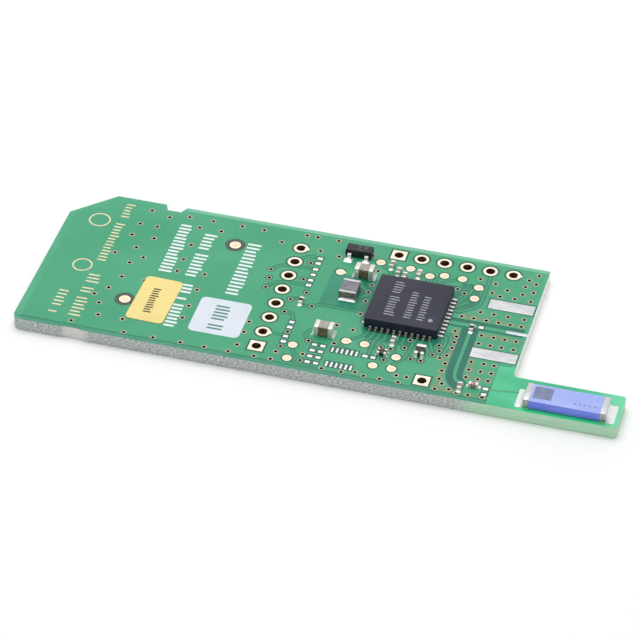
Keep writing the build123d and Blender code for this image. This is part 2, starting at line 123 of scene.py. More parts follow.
looks = {
    "pourMask": look((50, 158, 114), (64, 165, 123), (9, 7, 9), 0.33, band=(0.35, 0.65), bump=(0.04, 0.5)),
    "stitchMask": look((70, 158, 112), (112, 152, 108), (1.5, 1.1, 1.5), 0.35, band=(0.38, 0.62)),
    "gapMask": look((30, 124, 94), (42, 132, 102), 1.2, 0.35),
    "rimMask": look((66, 166, 124), (78, 170, 130), 4, 0.35),
    # painted shade: the strip along the near edge is darker, for the shadow at the mask's edge
    "nearMask": look((52, 142, 112), (62, 148, 118), (3, 1, 1), 0.35),
    # painted highlight: the strip along the far edge is lighter, for the light caught by that edge
    "farMask": look((110, 188, 154), (120, 192, 160), (6, 1, 1), 0.35),
    "clearMask": look((56, 184, 130), (78, 197, 147), (6, 3, 6), 0.3),
    "powerMask": look((28, 138, 106), (40, 146, 114), 4, 0.33),
    "bandMask": look((2, 108, 88), (14, 116, 96), (2, 4, 2), 0.33),
    "viaRing": look((196, 196, 174), (210, 190, 170), 0.4, 0.45),
    "moatMask": look((16, 88, 64), (26, 98, 74), 0.8, 0.4),
    # painted shade: the vias' plated bore walls are near black, for the shade inside the holes
    "viaBore": look((12, 8, 5), (6, 4, 2), (0.25, 0.25, 0.4), 0.6),
    "eyeletGold": look((255, 251, 232), (252, 240, 212), 0.7, 0.38, metal=0.1, bump=(0.04, 0.2)),
    # plated copper of the eyelets' bores, darkened with painted shade for the shade inside the holes
    "barrel": look((120, 74, 44), (58, 30, 18), (0.25, 0.25, 0.4), 0.55),
    # painted shade: a dark ring round each fiducial pad
    "windowEdge": look((54, 32, 24), (70, 44, 34), 0.5, 0.6),
    # partly the mask's opening round the chip's joints, partly painted shade under the chip's foot
    "jointMoat": look((8, 40, 28), (14, 56, 40), 0.4, 0.5),
    "window": look((70, 84, 70), (84, 92, 78), 0.5, 0.6),
    "fibre": look((226, 235, 231), (126, 141, 136), (0.3, 0.3, 0.09), 0.85, band=(0.38, 0.62), detail=7.0,
                  bump=(0.4, 0.1)),
    "padGold": look((252, 232, 202), (247, 222, 190), 0.8, 0.4, metal=0.15, bump=(0.05, 0.2)),
    "contactGold": look((232, 190, 104), (240, 204, 128), (0.3, 2.0, 1), 0.26, metal=1.0, bump=(0.04, 0.1)),
    "tinnedPad": look((222, 224, 227), (206, 208, 212), (1.6, 0.7, 1), 0.36, metal=0.3, bump=(0.06, 0.5)),
    "solder": look((252, 252, 252), (240, 241, 242), 0.2, 0.28, metal=0.35, bump=(0.02, 0.15)),
    # painted shade and reflection: a darker copy of solder for the joints on the chip's near side
    "dullSolder": look((156, 164, 158), (132, 140, 134), (0.3, 0.3, 0.12), 0.36, metal=0.5,
                       bump=(0.03, 0.12)),
    "endTin": look((240, 238, 232), (224, 220, 212), (0.6, 0.6, 0.4), 0.32, metal=0.55, bump=(0.03, 0.12)),
    "antennaTin": look((212, 214, 218), (198, 200, 204), (0.6, 0.6, 0.4), 0.32, metal=0.55,
                       bump=(0.03, 0.12)),
    "inductorTin": look((214, 214, 212), (196, 196, 194), (0.6, 0.6, 0.4), 0.34, metal=0.5,
                        bump=(0.03, 0.12)),
    "chipMoulding": look((31, 32, 53), (36, 37, 57), 2, 0.45, gloss=0.4, bump=(0.25, 0.06)),
    "regulatorMoulding": look((25, 26, 30), (38, 39, 44), (0.5, 0.3, 0.3), 0.38, gloss=0.4, bump=(0.3, 0.06)),
    "brownCeramic": look((130, 116, 94), (100, 86, 64), (0.5, 0.5, 0.3), 0.35, bump=(0.12, 0.1)),
    # painted light: a paler copy of the brown ceramic for the capacitors' lit tops
    "paleCeramic": look((174, 169, 162), (154, 148, 140), 0.4, 0.35),
    "darkEnd": look((72, 72, 62), (154, 156, 144), (0.24, 0.24, 0.16), 0.5),
    "smallCeramic": look((166, 156, 148), (134, 124, 118), 0.3, 0.35),
    "pinkCeramic": look((182, 100, 112), (216, 160, 164), 0.25, 0.35),
    "whiteCeramic": look((232, 230, 226), (210, 208, 204), 0.3, 0.6),
    "darkCeramic": look((34, 33, 34), (58, 54, 52), 0.4, 0.3),
    "greyFerrite": look((116, 116, 126), (132, 131, 139), 0.8, 0.36, bump=(0.1, 0.1)),
    "blueCeramic": look((160, 176, 243), (170, 186, 247), (3, 1.5, 1.5), 0.4, bump=(0.05, 0.2)),
    # painted shade: a darker copy of the antenna's blue for its sides
    "blueSide": look((112, 128, 240), (122, 138, 244), (3, 1.5, 1), 0.45),
    "blueMark": look((112, 124, 158), (124, 136, 168), 0.6, 0.5),
    "blackCoat": look((20, 20, 22), (34, 34, 36), 0.3, 0.22),
    "labelPaper": look((247, 227, 147), (243, 221, 139), 3, 0.6, bump=(0.1, 0.1)),
    "labelInk": look((64, 44, 20), (40, 28, 14), 0.3, 0.5),
    "whiteInk": look((244, 248, 250), (232, 238, 242), 0.5, 0.55, bump=(0.12, 0.08)),
    "panelInk": look((224, 230, 240), (217, 226, 237), 2, 0.5, bump=(0.08, 0.3)),
    "panelMark": look((58, 128, 112), (72, 140, 124), 0.5, 0.5),
    "etchedCopper": look((252, 232, 196), (240, 214, 172), 0.4, 0.42, metal=0.1),
    "laserGrey": look((168, 170, 178), (136, 138, 148), 0.15, 0.6),
    "mouldMark": look((108, 114, 114), (84, 88, 90), 0.15, 0.6),
    "floorWhite": look((253, 253, 253), (253, 253, 253), 1, 0.9, gloss=0.1),
}
mats = {name: finish(name, values) for name, values in looks.items()}

# Colours laid over a finish, each with the shares that are multiplied: a stretch along x or across y, in mm,
# where it grows to full, streaks of a grain with their strength, or an attribute with its strength
overlays = [
    ("fibre", (202, 244, 212), [("x", 47.5, 51.0), ("y", 8.0, 6.9)]),  # clear green resin on the tongue
    ("fibre", (158, 216, 172), [("x", 47.5, 51.0), ("y", 8.0, 6.9), ("streaks", (5, 5, 0.16), 1.0)]),
    ("fibre", (248, 254, 248), [("x", 52.7, 52.9), ("y", 6.3, 6.8)]),  # a pale cut at the launch end
    ("fibre", (226, 228, 222), [("x", 5.2, 6.2), ("x", 8.8, 7.6), ("y", 1.0, 0.6)]),  # the milled dip
    ("fibre", (186, 172, 174), [("streaks", (1.1, 1.1, 0.13), 0.3)]),
    # painted light: the tongue's top grows lighter towards its tip
    ("clearMask", (104, 214, 164), [("x", 61.5, 64.6)]),
    # painted light: a brighter strip in front of the antenna that lifts the contact shadow there
    ("clearMask", (62, 222, 142), [("x", 54.0, 55.0), ("x", 63.4, 62.8), ("y", 0.7, 0.5)]),
    ("antennaTin", (134, 136, 128), [("y", 0.62, 0.55), ("streaks", (0.32, 0.32, 0.3), 1.4)]),
    ("pourMask", (124, 154, 118), [("attribute", "viaWarmth", 0.5)]),  # copper that shines round vias
    ("powerMask", (110, 142, 106), [("attribute", "viaWarmth", 0.5)]),
    ("stitchMask", (140, 144, 104), [("attribute", "viaWarmth", 0.6)]),
    ("padGold", (255, 250, 230), [("attribute", "rimShare", 1.0)]),
]


def shareOf(node, calc, kind, first, second):
    if kind == "streaks":
        return calc("MULTIPLY", clouds(node, first), second)
    if kind == "attribute":
        return calc("MULTIPLY", node("ShaderNodeAttribute", out="Fac", attribute_name=first), second)
    start, end = [getattr(spot(v, v), kind) for v in (first, second)]
    place = node("ShaderNodeTexCoord", out="Object")
    value = node("ShaderNodeSeparateXYZ", {"Vector": place}, kind.upper())
    return node("ShaderNodeMapRange", {"Value": value, "From Min": start, "From Max": end},
                interpolation_type="SMOOTHSTEP")


for name, colour, shares in overlays:
    tree = mats[name].node_tree
    node, calc = nodeMaker(tree)
    factor, *others = [shareOf(node, calc, *share) for share in shares]
    for other in others:
        factor = calc("MULTIPLY", factor, other)
    target = tree.nodes["Principled BSDF"].inputs["Base Color"]
    below = target.links[0].from_socket
    mixed = node("ShaderNodeMix", {"Factor": factor, "A": below, "B": tint(colour)}, data_type="RGBA")
    tree.links.new(mixed, target)
print("finishes made:", len(mats))


# The separate solids of a CAD node, each as its lowest and highest corner, its middle and its points
def solids(name):
    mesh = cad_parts[name].data
    keys = [tuple(round(c / mm, 3) for c in v.co) for v in mesh.vertices]
    parent = {key: key for key in keys}

    def root(key):
        while parent[key] != key:
            parent[key] = parent[parent[key]]
            key = parent[key]
        return key

    for face in mesh.polygons:
        first, *others = [keys[i] for i in face.vertices]
        for other in others:
            parent[root(other)] = root(first)
    groups = {}
    for key in parent:
        groups.setdefault(root(key), []).append(Vector(key) * mm)
    found = []
    for points in groups.values():
        low = Vector([min(p[i] for p in points) for i in range(3)])
        high = Vector([max(p[i] for p in points) for i in range(3)])
        found.append((low, high, (low + high) / 2, points))
    return sorted(found, key=lambda s: (round(s[0].x, 5), round(s[0].y, 5)))


# The outline of a CAD node's top face, as places on the board
def topLoop(name):
    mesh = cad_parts[name].data
    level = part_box(name)[1].z
    sides = {}
    for face in mesh.polygons:
        points = [mesh.vertices[i].co for i in face.vertices]
        if all(abs(p.z - level) < 1e-6 for p in points):
            keys = [tuple(round(c, 4) for c in onBoard(p)) for p in points]
            sides.update({side: True for side in zip(keys, keys[1:] + keys[:1])})
    after = {a: b for a, b in sides if (b, a) not in sides}
    loops = []
    while after:
        start, point = after.popitem()
        loop = [start]
        while point != start:
            loop.append(point)
            point = after.pop(point)
        loops.append(loop)
    return max(loops, key=len)


# Making pieces: from a mesh, from rings of points, from rounded boxes, or joined from several
def plainObject(name, mesh, mat=None):
    piece = bpy.data.objects.new(name, mesh)
    scene.collection.objects.link(piece)
    if mat is not None:
        mesh.materials.clear()
        mesh.materials.append(mats[mat])
    return piece


def smoothed(mesh, angle):
    mesh.shade_smooth()
    mesh.set_sharp_from_angle(angle=math.radians(angle))
    return mesh


def meshOf(name, bm):
    bmesh.ops.recalc_face_normals(bm, faces=bm.faces)
    mesh = bpy.data.meshes.new(name)
    bm.to_mesh(mesh)
    bm.free()
    return mesh


def fromBmesh(name, bm, mat, angle=35):
    return plainObject(name, smoothed(meshOf(name, bm), angle), mat)


def joined(name, pieces):
    if len(pieces) > 1:
        with bpy.context.temp_override(active_object=pieces[0], selected_editable_objects=pieces):
            bpy.ops.object.join()
    pieces[0].name = name
    return pieces[0]


def keep(piece, slot, *nodes):
    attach(piece, "root")
    if nodes:
        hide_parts(*nodes)
    return piece


def camel(name):
    head, *rest = name.split("_")
    return head + "".join(word.capitalize() for word in rest)


def secondFinish(piece, mat, chosen):
    piece.data.materials.append(mats[mat])
    for face in piece.data.polygons:
        if chosen(face):
            face.material_index = 1


def loft(bm, rings, capped=True):
    # walls from ring to ring, and a cap at each end or the last ring joined to the first
    rings = [[bm.verts.new(point) for point in ring] for ring in rings]
    if capped:
        bm.faces.new(rings[0][::-1])
        bm.faces.new(rings[-1])
    else:
        rings.append(rings[0])
    for below, above in zip(rings, rings[1:]):
        for i in range(len(below)):
            j = (i + 1) % len(below)
            bm.faces.new((below[i], below[j], above[j], above[i]))


def spread(start, end, count):
    return [start + (end - start) * i / count for i in range(count + 1)]


# A soft top edge, as pairs of height and how far the outline is drawn in there
def softEdge(top, rim, share=0.3):
    return [(top - rim, 0), (top - rim * share, rim * share), (top, rim)]


def circle(centre, radius, z, sides):
    turns = [2 * math.pi * i / sides for i in range(sides)]
    return [(centre[0] + radius * math.cos(t), centre[1] + radius * math.sin(t), z) for t in turns]


def roundBoxes(bm, corners, radius, segments=3):
    for low, high in corners:
        made = bmesh.ops.create_cube(bm, size=1.0)
        for v in made["verts"]:
            v.co = Vector([low[i] + (v.co[i] + 0.5) * (high[i] - low[i]) for i in range(3)])
        edges = {e for v in made["verts"] for e in v.link_edges}
        bmesh.ops.bevel(bm, geom=list(edges), offset=radius, offset_type="OFFSET", segments=segments,
                        profile=0.5, affect="EDGES", clamp_overlap=True)
    return bm


# Board: one plane of outlines, painted over each other, becomes a solid with raised copper and drilled vias
boardLook = {
    "traceGap": 0.17, "signalWidth": 0.2, "turnReach": 0.6, "turnLimit": 0.45, "viaDrill": 0.195,
    "viaRing": 0.28, "viaWarmth": 0.6, "isolatedGap": 0.48, "eyeletGap": 0.2, "contactGap": 0.3,
    "padGap": 0.16, "landGap": 0.13, "jointGap": 0.05, "markWindow": 1.12, "markEdge": 0.12,
    "drillSides": 10, "padSides": 24, "moatSides": 32, "holeSides": 48,
}
classFinish = {  # what the board's faces can be
    "edge": "rimMask", "near": "nearMask", "far": "farMask", "clear": "clearMask", "gap": "gapMask",
    "band": "bandMask", "window": "window", "windowEdge": "windowEdge", "jointMoat": "jointMoat",
    "pour": "pourMask", "power": "powerMask", "stitch": "stitchMask", "ring": "viaRing", "moat": "moatMask",
    "drill": "viaBore", "pocket": "gapMask", "wall": "fibre",
}
classRise = {"pour": 0.02, "power": 0.02, "stitch": 0.02, "ring": 0.025}  # above the laminate's top face
classSink = {"gap": 0.02, "moat": 0.02, "edge": 0.01}  # into the contact side
painted = []  # (loop, class on top, class underneath), later ones over earlier ones


def paint(loop, top=None, under=None):
    area = sum(a[0] * b[1] - b[0] * a[1] for a, b in zip(loop, loop[1:] + loop[:1]))
    painted.append((loop if area > 0 else loop[::-1], top, under))


def disc(centre, radius, sides=12):
    return [(x, y) for x, y, z in circle(centre, radius, 0, sides)]


def patch(low, high, grow=0.0):
    (a, b), (c, d) = low, high
    return [(a - grow, b - grow), (c + grow, b - grow), (c + grow, d + grow), (a - grow, d + grow)]


def footprint(low, high, grow=0.0):
    return patch(onBoard(low), onBoard(high), grow)


def eyeletShape(eyelet, grow, sides):
    centre, reach = onBoard(eyelet["at"]), eyelet["pad"] / mm + grow
    return patch(centre, centre, reach) if eyelet["square"] else disc(centre, reach, sides)


# A route with its corners rounded, then a ribbon of one width along it
def rounded(route, reach=boardLook["turnReach"], steps=4):
    line = [Vector(route[0])]
    for before, corner, after in zip(route, route[1:], route[2:]):
        corner, ends = Vector(corner), []
        for way in (Vector(before) - corner, Vector(after) - corner):
            ends.append(corner + way.normalized() * min(reach, way.length * boardLook["turnLimit"]))
        for t in spread(0, 1, steps):
            line.append(ends[0] * (1 - t) ** 2 + corner * 2 * t * (1 - t) + ends[1] * t ** 2)
    return line + [Vector(route[-1])]


def ribbon(route, width):
    line = [Vector(p) for p in route]
    left, right = [], []
    for i, point in enumerate(line):
        way = (line[min(i + 1, len(line) - 1)] - line[max(i - 1, 0)]).normalized()
        side = Vector((-way.y, way.x)) * width / 2
        left.append(tuple(point + side))
        right.append(tuple(point - side))
    return left + right[::-1]


fields = {
    # the near edge's strip carries painted shade
    "near": [[(1.5, 0), (51.4, 0), (51.4, 0.5), (0.6, 0.5), (0.3, 1.0), (0.2, 0.6)]],
    # the far edge's strip carries a painted highlight
    "far": [[(12.3, 23.5), (53, 23.5), (53, 24), (12.2, 24)]],
    "clear": [[(51.3, 0), (65, 0), (65, 5.4), (53.6, 5.4), (52.9, 6.8), (51.3, 6.8)]],
    "pour": [
        [(0.75, 0.75), (51.2, 0.75), (51.2, 6.6), (52.55, 6.75), (52.55, 23.35), (12.9, 23.35), (12.1, 22.6),
         (9.8, 22.6), (9.3, 23.35), (4.6, 23.35), (0.75, 19.5)],
    ],
    "stitch": [
        [(45.2, 0.75), (51.1, 0.75), (51.1, 1.4), (45.2, 1.4)],
        [(45.25, 0.8), (46.05, 0.8), (46.05, 11.4), (45.25, 11.4)],
        [(48.05, 3.4), (48.8, 3.4), (48.8, 7.0), (48.05, 7.0)],
        [(48.8, 3.4), (51.1, 3.4), (51.1, 4.1), (48.8, 4.1)],
        [(48.0, 10.7), (52.5, 10.7), (52.5, 11.5), (48.0, 11.5)],
        [(45.4, 13.35), (52.5, 13.35), (52.5, 14.0), (46.0, 14.3), (45.4, 13.9)],
    ],
    "power": [[(30.45, 11.45), (35.6, 11.45), (35.6, 17.2), (31.6, 17.2), (30.8, 18.4), (30.45, 17.8)]],
    # dark fields by the inductor and round the square chip: partly bare gaps, partly painted shade under and
    # beside these parts
    "gap": [
        [(33.85, 13.6), (35.6, 13.2), (35.6, 17.2), (34.2, 17.2), (33.75, 16.4), (33.7, 14.2)],
        [(35.9, 17.5), (35.9, 8.5), (36.4, 8.0), (44.2, 8.0), (44.6, 8.7), (44.6, 17.5), (44.0, 17.9),
         (36.4, 17.9)],
        [(36.1, 8.2), (36.3, 7.5), (37.2, 7.0), (41.2, 6.9), (43.4, 7.3), (44.1, 8.2)],
        [(44.4, 19.3), (45.4, 19.4), (46.5, 18.4), (47.0, 16.4), (46.8, 15.5), (45.3, 14.0), (44.4, 13.9)],
    ],
    "band": [[(44.4, 11.75), (52.6, 11.75), (52.6, 13.2), (44.4, 13.2)]],
}
bandRoute = {"line": [(47.0, 12.3), (47.0, 3.3), (48.2, 2.0)], "width": 1.8, "reach": 1.6}
rimLines = {"lines": [[(0.6, 0.62), (51.3, 0.62)], [(47.9, 7.2), (51.3, 7.15)]], "width": 0.2}
feedLine = {"line": [(51.3, 2.45), (54.2, 2.85)], "width": 0.16}
wideTurns = {0.36: 1.4}  # how far the corners of these widths are rounded
traces = {  # width in mm, and the places that each trace passes
    0.2: [
        [(24.0, 15.9), (24.9, 17.0), (26.2, 17.1), (28.5, 17.2)],
        [(24.3, 12.8), (25.3, 14.1), (28.5, 14.2)], [(26.6, 18.6), (27.3, 19.3), (28.6, 19.3)],
        [(27.8, 18.2), (28.6, 18.35)], [(27.8, 15.1), (28.6, 15.2)], [(28.7, 12.9), (28.6, 14.2)],
        [(27.4, 11.4), (28.4, 11.9)], [(28.5, 10.6), (29.9, 10.8)],
        [(27.35, 9.05), (28.4, 9.0), (28.6, 7.6)], [(26.2, 5.2), (28.5, 5.2)], [(28.55, 3.3), (28.55, 4.2)],
        [(29.75, 3.9), (29.9, 2.9), (31.1, 1.6)], [(29.75, 1.6), (30.6, 1.1), (33.2, 1.1)],
        [(31.0, 7.0), (30.5, 6.2), (30.6, 5.6), (31.1, 5.1)], [(33.8, 5.4), (34.6, 5.0), (36.4, 4.3)],
        [(36.75, 8.6), (36.6, 7.6), (35.8, 6.9), (34.9, 6.1)],
        [(37.4, 8.6), (37.3, 7.6), (36.9, 6.9), (36.9, 6.1)],
        [(38.05, 8.6), (38.0, 7.6), (37.7, 6.9), (37.7, 4.4)],
        [(38.7, 8.6), (38.7, 7.4), (38.2, 6.8), (38.2, 5.5)], [(40.0, 8.6), (40.0, 6.0), (40.6, 5.0)],
        [(40.65, 8.6), (40.6, 7.2), (41.1, 6.6)], [(41.3, 8.6), (41.35, 8.0)],
        [(41.95, 8.6), (41.7, 7.4), (41.7, 6.0), (41.3, 4.6), (40.6, 3.9), (40.6, 3.1)],
        [(42.6, 8.6), (42.6, 7.8)], [(43.25, 8.6), (43.8, 7.5), (44.1, 6.5)],
        [(44.5, 9.75), (45.0, 9.4), (45.0, 7.8), (44.7, 7.2)],
        [(44.5, 10.4), (45.4, 10.0), (45.4, 7.6), (45.0, 6.0)],
        [(44.5, 14.3), (45.5, 14.5), (47.05, 15.9), (47.05, 21.0), (46.7, 22.3)],
        [(44.5, 14.95), (45.4, 15.9), (46.2, 17.0)],
        [(44.5, 15.6), (45.2, 16.9), (45.7, 18.4), (46.2, 19.0)], [(44.4, 16.25), (44.95, 17.5)],
        [(42.2, 20.0), (41.4, 19.0), (41.3, 17.6)],
        [(44.2, 20.0), (43.2, 19.4), (42.0, 18.6), (41.95, 17.6)], [(40.7, 19.5), (40.65, 17.6)],
        [(44.1, 18.3), (42.9, 18.3), (42.6, 17.6)],
        [(35.05, 20.4), (35.7, 19.6), (36.6, 19.1), (36.9, 17.6)],
        [(33.9, 16.4), (34.3, 15.5), (34.9, 15.1), (35.6, 15.05)],
        [(34.0, 13.3), (34.7, 14.2), (35.6, 14.4)], [(30.1, 11.0), (30.7, 11.35), (35.6, 11.35)],
    ],
    0.3: [[(34.4, 22.4), (36.4, 22.4)]],
    0.36: [[(47.05, 11.4), (47.05, 3.4), (48.1, 2.4)]],
    0.6: [[(44.5, 12.35), (52.9, 12.35)]],
}
vias = {  # rows: how far from the near edge, and the places along the row
    0.95: [12.1, 15.3, 18.3, 20.9, 23.5, 26.3, 28.1, 33.6, 35.7, 38.1, 39.8, 41.8, 45.7, 48.0, 49.2, 50.7],
    1.3: [6.2, 37.1, 47.1], 1.6: [31.1], 2.0: [41.35, 42.45, 46.2], 2.3: [24.1, 28.3], 2.7: [31.1, 45.75],
    3.05: [8.6, 11.3], 3.3: [28.55], 3.75: [48.35, 49.6, 50.7], 4.1: [39.45, 45.7], 4.55: [24.2],
    5.05: [8.05, 17.3, 31.1, 42.1, 43.2, 48.35, 49.6, 50.75], 5.35: [33.8, 45.75], 5.9: [28.6],
    6.1: [38.65, 39.7, 45.0], 6.4: [7.1, 24.25, 44.15, 48.3, 49.65, 50.75], 6.7: [41.05, 45.6],
    7.2: [17.35, 44.7], 7.85: [8.25], 8.1: [35.1, 41.35, 44.45, 45.85], 8.4: [33.3], 9.1: [27.35, 45.85],
    9.6: [48.35, 49.6, 50.8, 52.1], 10.1: [9.0, 11.55, 17.4, 45.85], 10.8: [29.9],
    11.0: [35.2, 45.5, 48.35, 49.65, 50.85, 52.05], 11.4: [27.4], 12.7: [9.05, 14.4, 24.3],
    12.95: [17.4, 28.75], 13.3: [35.15], 13.65: [45.6, 46.9, 48.25, 49.6, 50.85, 52.05], 14.0: [7.0, 10.2],
    14.4: [24.2], 14.9: [14.45, 35.05, 47.35, 48.8, 50.35, 52.1], 15.15: [27.8], 15.5: [8.95], 15.85: [24.0],
    16.2: [35.1], 17.6: [7.8, 10.3, 14.5, 44.95], 18.15: [27.8, 44.1, 48.75, 50.35, 52.1], 18.5: [47.8],
    18.8: [35.15], 19.15: [51.0], 19.4: [49.25], 19.75: [8.05, 10.0, 52.05], 20.15: [30.45, 47.8],
    20.55: [28.25, 46.05, 51.0], 20.9: [14.5, 16.95, 23.8], 21.3: [33.9, 52.0], 21.8: [10.8, 51.15],
    22.45: [8.6, 12.9, 15.6, 18.9, 21.4], 22.85: [26.15, 27.35, 29.7, 52.0],
}
isolated = [  # vias with a gap round them
    (24.0, 15.85), (24.2, 14.4), (24.3, 12.7), (27.8, 18.15), (27.8, 15.15), (28.75, 12.95), (27.4, 11.4),
    (29.9, 10.8), (27.35, 9.1), (28.55, 3.3), (28.6, 5.9), (31.1, 5.05), (31.1, 1.6), (38.65, 6.1),
    (39.7, 6.1), (39.45, 4.1), (41.05, 6.7), (41.35, 8.1), (42.1, 5.05), (43.2, 5.05), (44.15, 6.4),
    (44.7, 7.2), (44.45, 8.1), (35.05, 14.9), (35.1, 16.2), (35.15, 13.3), (44.95, 17.6), (44.1, 18.15),
]
viaPlaces = [(along, across) for across, row in vias.items() for along in row]
eyelets = []  # node, centre, pad radius, and whether the pad is square
for name in ("header_eyelets", "service_eyelets", "ground_eyelet"):
    for low, high, middle, points in solids(name):
        radius = (high.x - low.x) / 2
        corner = max((p.xy - middle.xy).length for p in points)  # 1.4 radii away on a square pad
        eyelets.append({"node": name, "at": middle, "pad": radius, "square": corner > radius * 1.2})

paint(topLoop("laminate"), "edge", "edge")
for name, loops in fields.items():
    for loop in loops:
        paint(loop, name, "pour" if name == "pour" else None)
for line in rimLines["lines"]:
    paint(ribbon(line, rimLines["width"]), "gap")
paint(ribbon(feedLine["line"], feedLine["width"]), "stitch")
paint(ribbon(rounded(bandRoute["line"], bandRoute["reach"], 6), bandRoute["width"]), "band")
for low, high, middle, points in solids("card_contacts"):
    paint(footprint(low, high, boardLook["contactGap"]), None, "gap")
for route in traces[boardLook["signalWidth"]]:
    paint(ribbon(rounded(route), boardLook["signalWidth"] + 2 * boardLook["traceGap"]), "gap")
for width, routes in traces.items():
    for route in routes:
        paint(ribbon(rounded(route, wideTurns.get(width, boardLook["turnReach"])), width), "pour")
for eyelet in eyelets:
    paint(eyeletShape(eyelet, boardLook["eyeletGap"], boardLook["moatSides"]), "moat", "moat")
for low, high, middle, points in solids("test_pads"):
    radius = (high.x - low.x) / 2 / mm
    paint(disc(onBoard(middle), radius + boardLook["padGap"], boardLook["padSides"]), "moat")
for low, high, middle, points in solids("fiducial_pads"):
    radius = (high.x - low.x) / 2 / mm
    paint(disc(onBoard(middle), boardLook["markWindow"], boardLook["padSides"]), "window")
    # a dark ring round the fiducial pad: painted shade
    paint(disc(onBoard(middle), radius + boardLook["markEdge"], boardLook["padSides"]), "windowEdge")
launchGrounds = [s for s in solids("launch_pads") if s[1].y - s[0].y > 1 * mm]
for low, high, middle, points in solids("spare_lands") + solids("comb_lands") + launchGrounds:
    paint(footprint(low, high, boardLook["landGap"]), "moat")
chipSolder = solids("wifi_chip_solder")
chipPlate = max(chipSolder, key=lambda s: s[1].x - s[0].x)
chipSolder.remove(chipPlate)
for side in range(4):  # the chip's rows of joints, the first one on the contact end's side
    axis, far = side % 2, side > 1
    edge = max(s[1][axis] for s in chipSolder) if far else min(s[0][axis] for s in chipSolder)
    row = [s for s in chipSolder if abs(s[far][axis] - edge) < 1e-6]
    low = [min(s[0][i] for s in row) for i in range(2)]
    high = [max(s[1][i] for s in row) for i in range(2)]
    # on three sides the moat is darkened with painted shade under the chip's foot
    paint(footprint(low, high, boardLook["jointGap"]), "jointMoat" if side else "gap")
for place in viaPlaces:
    paint(disc(place, boardLook["viaWarmth"]))  # only cuts the faces there, for the warm tint
for place in isolated:
    paint(disc(place, boardLook["isolatedGap"]), "gap")
for place in viaPlaces:
    paint(disc(place, boardLook["viaRing"]), "ring", "ring")
    # the drilled bores take a near-black finish, painted shade inside the holes
    paint(disc(place, boardLook["viaDrill"], boardLook["drillSides"]), "drill", "drill")
for eyelet in eyelets:
    paint(eyeletShape(eyelet, 0, boardLook["holeSides"]), "drill", "drill")
for low, high, middle, points in solids("card_contacts"):
    paint(footprint(low, high), None, "pocket")


def viaWarmth(place):
    nearest = min((place[0] - a) ** 2 + (place[1] - b) ** 2 for a, b in viaPlaces) ** 0.5
    span = boardLook["viaWarmth"] - boardLook["viaRing"]
    return max(0.0, min(1.0, (boardLook["viaWarmth"] - nearest) / span))


def buildBoard():
    points, loops = [], []
    for loop, top, under in painted:
        loops.append(list(range(len(points), len(points) + len(loop))))
        points += [Vector(p) for p in loop]
    flat, _, faces, _, _, owners = delaunay_2d_cdt(points, [], loops, 0, 1e-5)
    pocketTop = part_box("card_contacts")[1].z

    def kind(owned, side):
        named = [painted[i][side] for i in sorted(owned) if painted[i][side]]
        return named[-1] if 0 in owned else None

    # each face's class and level on top, then the same underneath
    cells = []
    for owned in owners:
        top, under = kind(owned, 1), kind(owned, 2)
        if top in (None, "drill"):
            cells.append((top, None, under, None))
        else:
            low = pocketTop if under == "pocket" else boardLow.z + classSink.get(under, 0.0) * mm
            cells.append((top, topZ + classRise.get(top, 0.0) * mm, under, low))
    verts, index, polys, finishes = [], {}, [], []

    def vertex(i, z):
        key = (i, round(z, 8))
        if key not in index:
            index[key] = len(verts)
            verts.append((boardLow.x + flat[i].x * mm, boardLow.y + flat[i].y * mm, z))
        return index[key]

    def add(corners, name):
        polys.append([vertex(i, z) for i, z in corners])
        finishes.append(list(classFinish).index(name))

    sides = {}
    for cell, face in zip(cells, faces):
        for side in zip(face, [*face[1:], face[0]]):
            sides[side] = cell
    for (top, high, under, low), face in zip(cells, faces):
        if high is None:
            continue
        add([(i, high) for i in face], top)
        add([(i, low) for i in reversed(face)], under)
        for a, b in zip(face, [*face[1:], face[0]]):
            besideTop, besideHigh, _, besideLow = sides.get((b, a), (None, None, None, None))
            if besideHigh is None:
                wall = "drill" if besideTop == "drill" else "wall"
                add([(a, high), (a, low), (b, low), (b, high)], wall)
                continue
            if high > besideHigh:
                add([(a, high), (a, besideHigh), (b, besideHigh), (b, high)], top)
            if low < besideLow:
                add([(a, besideLow), (a, low), (b, low), (b, besideLow)], under)
    mesh = bpy.data.meshes.new("board")
    mesh.from_pydata(verts, [], polys)
    mesh.polygons.foreach_set("material_index", finishes)
    warmth = mesh.attributes.new("viaWarmth", "FLOAT", "POINT")
    known = {}
    for i, v in enumerate(verts):
        place = onBoard(v)
        if place not in known:
            known[place] = viaWarmth(place)
        warmth.data[i].value = known[place]
    mesh.validate()
    for name in classFinish.values():
        mesh.materials.append(mats[name])
    return plainObject("board", mesh)


board = keep(buildBoard(), "board", "laminate")
print("board made:", len(board.data.polygons), "faces,", len(viaPlaces), "vias")


